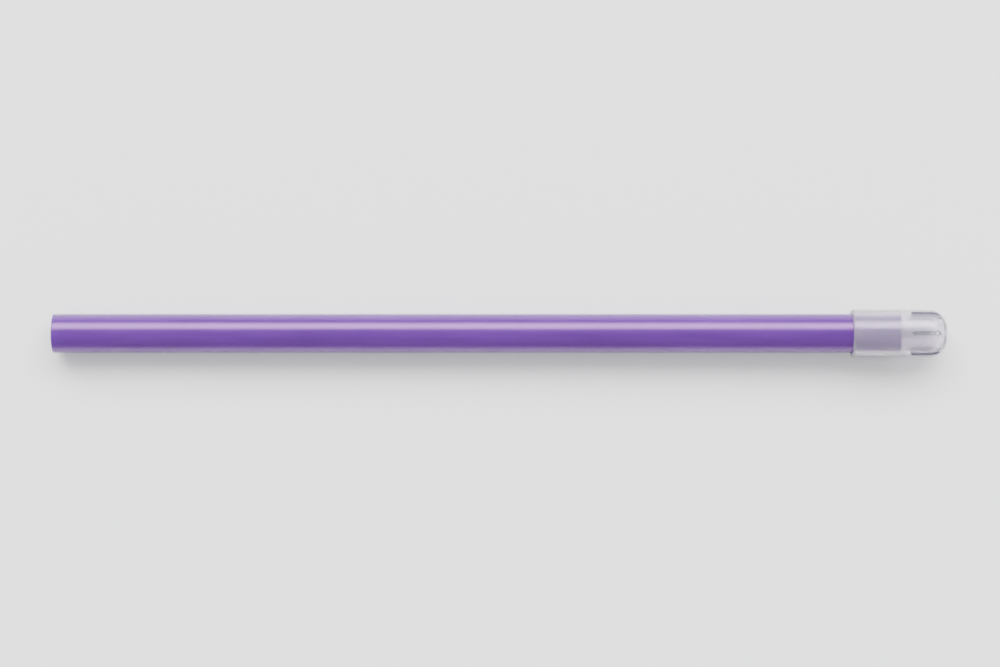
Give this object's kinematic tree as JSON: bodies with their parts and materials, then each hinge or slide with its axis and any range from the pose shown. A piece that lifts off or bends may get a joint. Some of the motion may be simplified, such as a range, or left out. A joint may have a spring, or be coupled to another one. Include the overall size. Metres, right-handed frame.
{
  "type": "saliva ejector tip",
  "caption": "Disposable dental saliva ejector: a soft translucent tube with a shape-holding wire in its wall and a slotted push-on cap; the front part of the tube bends into a hook.",
  "frame": {"origin": "centre of the tube's rear end, where it plugs into the suction valve", "axes": "+X along the tube towards the cap, +Z the way the tube bends, +Y the side that holds the wire"},
  "size_m": [0.15, 0.008, 0.008],
  "materials": {
    "tube_plastic": "glossy translucent soft plastic",
    "cap_plastic": "frosted clear soft plastic",
    "wire_metal": "drawn wire with a brass coat"
  },
  "bodies": {
    "rear": {"tube_rear": "tube_plastic", "wire_rear": "wire_metal"},
    "span_01": {"tube_span_01": "tube_plastic", "wire_span_01": "wire_metal"},
    "span_02": {"tube_span_02": "tube_plastic", "wire_span_02": "wire_metal"},
    "span_03": {"tube_span_03": "tube_plastic", "wire_span_03": "wire_metal"},
    "span_04": {"tube_span_04": "tube_plastic", "wire_span_04": "wire_metal"},
    "span_05": {"tube_span_05": "tube_plastic", "wire_span_05": "wire_metal"},
    "span_06": {"tube_span_06": "tube_plastic", "wire_span_06": "wire_metal"},
    "span_07": {"tube_span_07": "tube_plastic", "wire_span_07": "wire_metal"},
    "span_08": {"tube_span_08": "tube_plastic", "wire_span_08": "wire_metal"},
    "span_09": {"tube_span_09": "tube_plastic", "wire_span_09": "wire_metal"},
    "span_10": {"tube_span_10": "tube_plastic", "wire_span_10": "wire_metal"},
    "span_11": {"tube_span_11": "tube_plastic", "wire_span_11": "wire_metal"},
    "span_12": {"tube_span_12": "tube_plastic", "wire_span_12": "wire_metal"},
    "span_13": {"tube_span_13": "tube_plastic", "wire_span_13": "wire_metal"},
    "span_14": {"tube_span_14": "tube_plastic", "wire_span_14": "wire_metal"},
    "span_15": {"tube_span_15": "tube_plastic", "wire_span_15": "wire_metal"},
    "span_16": {"tube_span_16": "tube_plastic", "wire_span_16": "wire_metal"},
    "span_17": {"tube_span_17": "tube_plastic", "wire_span_17": "wire_metal"},
    "front": {"tube_front": "tube_plastic", "wire_front": "wire_metal"},
    "cap": {"tip_cap": "cap_plastic"}
  },
  "joints": [
    {"name": "bend_01", "type": "hinge", "parent": "rear", "child": "span_01", "pos_m": [0.077, 0, 0], "axis": [0, -1, 0], "range_deg": [0, 10]},
    {"name": "bend_02", "type": "hinge", "parent": "span_01", "child": "span_02", "pos_m": [0.0795, 0, 0], "axis": [0, -1, 0], "range_deg": [0, 10]},
    {"name": "bend_03", "type": "hinge", "parent": "span_02", "child": "span_03", "pos_m": [0.082, 0, 0], "axis": [0, -1, 0], "range_deg": [0, 10]},
    {"name": "bend_04", "type": "hinge", "parent": "span_03", "child": "span_04", "pos_m": [0.0845, 0, 0], "axis": [0, -1, 0], "range_deg": [0, 10]},
    {"name": "bend_05", "type": "hinge", "parent": "span_04", "child": "span_05", "pos_m": [0.087, 0, 0], "axis": [0, -1, 0], "range_deg": [0, 10]},
    {"name": "bend_06", "type": "hinge", "parent": "span_05", "child": "span_06", "pos_m": [0.0895, 0, 0], "axis": [0, -1, 0], "range_deg": [0, 10]},
    {"name": "bend_07", "type": "hinge", "parent": "span_06", "child": "span_07", "pos_m": [0.092, 0, 0], "axis": [0, -1, 0], "range_deg": [0, 10]},
    {"name": "bend_08", "type": "hinge", "parent": "span_07", "child": "span_08", "pos_m": [0.0945, 0, 0], "axis": [0, -1, 0], "range_deg": [0, 10]},
    {"name": "bend_09", "type": "hinge", "parent": "span_08", "child": "span_09", "pos_m": [0.097, 0, 0], "axis": [0, -1, 0], "range_deg": [0, 10]},
    {"name": "bend_10", "type": "hinge", "parent": "span_09", "child": "span_10", "pos_m": [0.0995, 0, 0], "axis": [0, -1, 0], "range_deg": [0, 10]},
    {"name": "bend_11", "type": "hinge", "parent": "span_10", "child": "span_11", "pos_m": [0.102, 0, 0], "axis": [0, -1, 0], "range_deg": [0, 10]},
    {"name": "bend_12", "type": "hinge", "parent": "span_11", "child": "span_12", "pos_m": [0.1045, 0, 0], "axis": [0, -1, 0], "range_deg": [0, 10]},
    {"name": "bend_13", "type": "hinge", "parent": "span_12", "child": "span_13", "pos_m": [0.107, 0, 0], "axis": [0, -1, 0], "range_deg": [0, 10]},
    {"name": "bend_14", "type": "hinge", "parent": "span_13", "child": "span_14", "pos_m": [0.1095, 0, 0], "axis": [0, -1, 0], "range_deg": [0, 10]},
    {"name": "bend_15", "type": "hinge", "parent": "span_14", "child": "span_15", "pos_m": [0.112, 0, 0], "axis": [0, -1, 0], "range_deg": [0, 10]},
    {"name": "bend_16", "type": "hinge", "parent": "span_15", "child": "span_16", "pos_m": [0.1145, 0, 0], "axis": [0, -1, 0], "range_deg": [0, 10]},
    {"name": "bend_17", "type": "hinge", "parent": "span_16", "child": "span_17", "pos_m": [0.117, 0, 0], "axis": [0, -1, 0], "range_deg": [0, 10]},
    {"name": "bend_18", "type": "hinge", "parent": "span_17", "child": "front", "pos_m": [0.1195, 0, 0], "axis": [0, -1, 0], "range_deg": [0, 10]},
    {"name": "cap_pull", "type": "slide", "parent": "front", "child": "cap", "axis": [1, 0, 0], "range_m": [0, 0.012]}
  ]
}
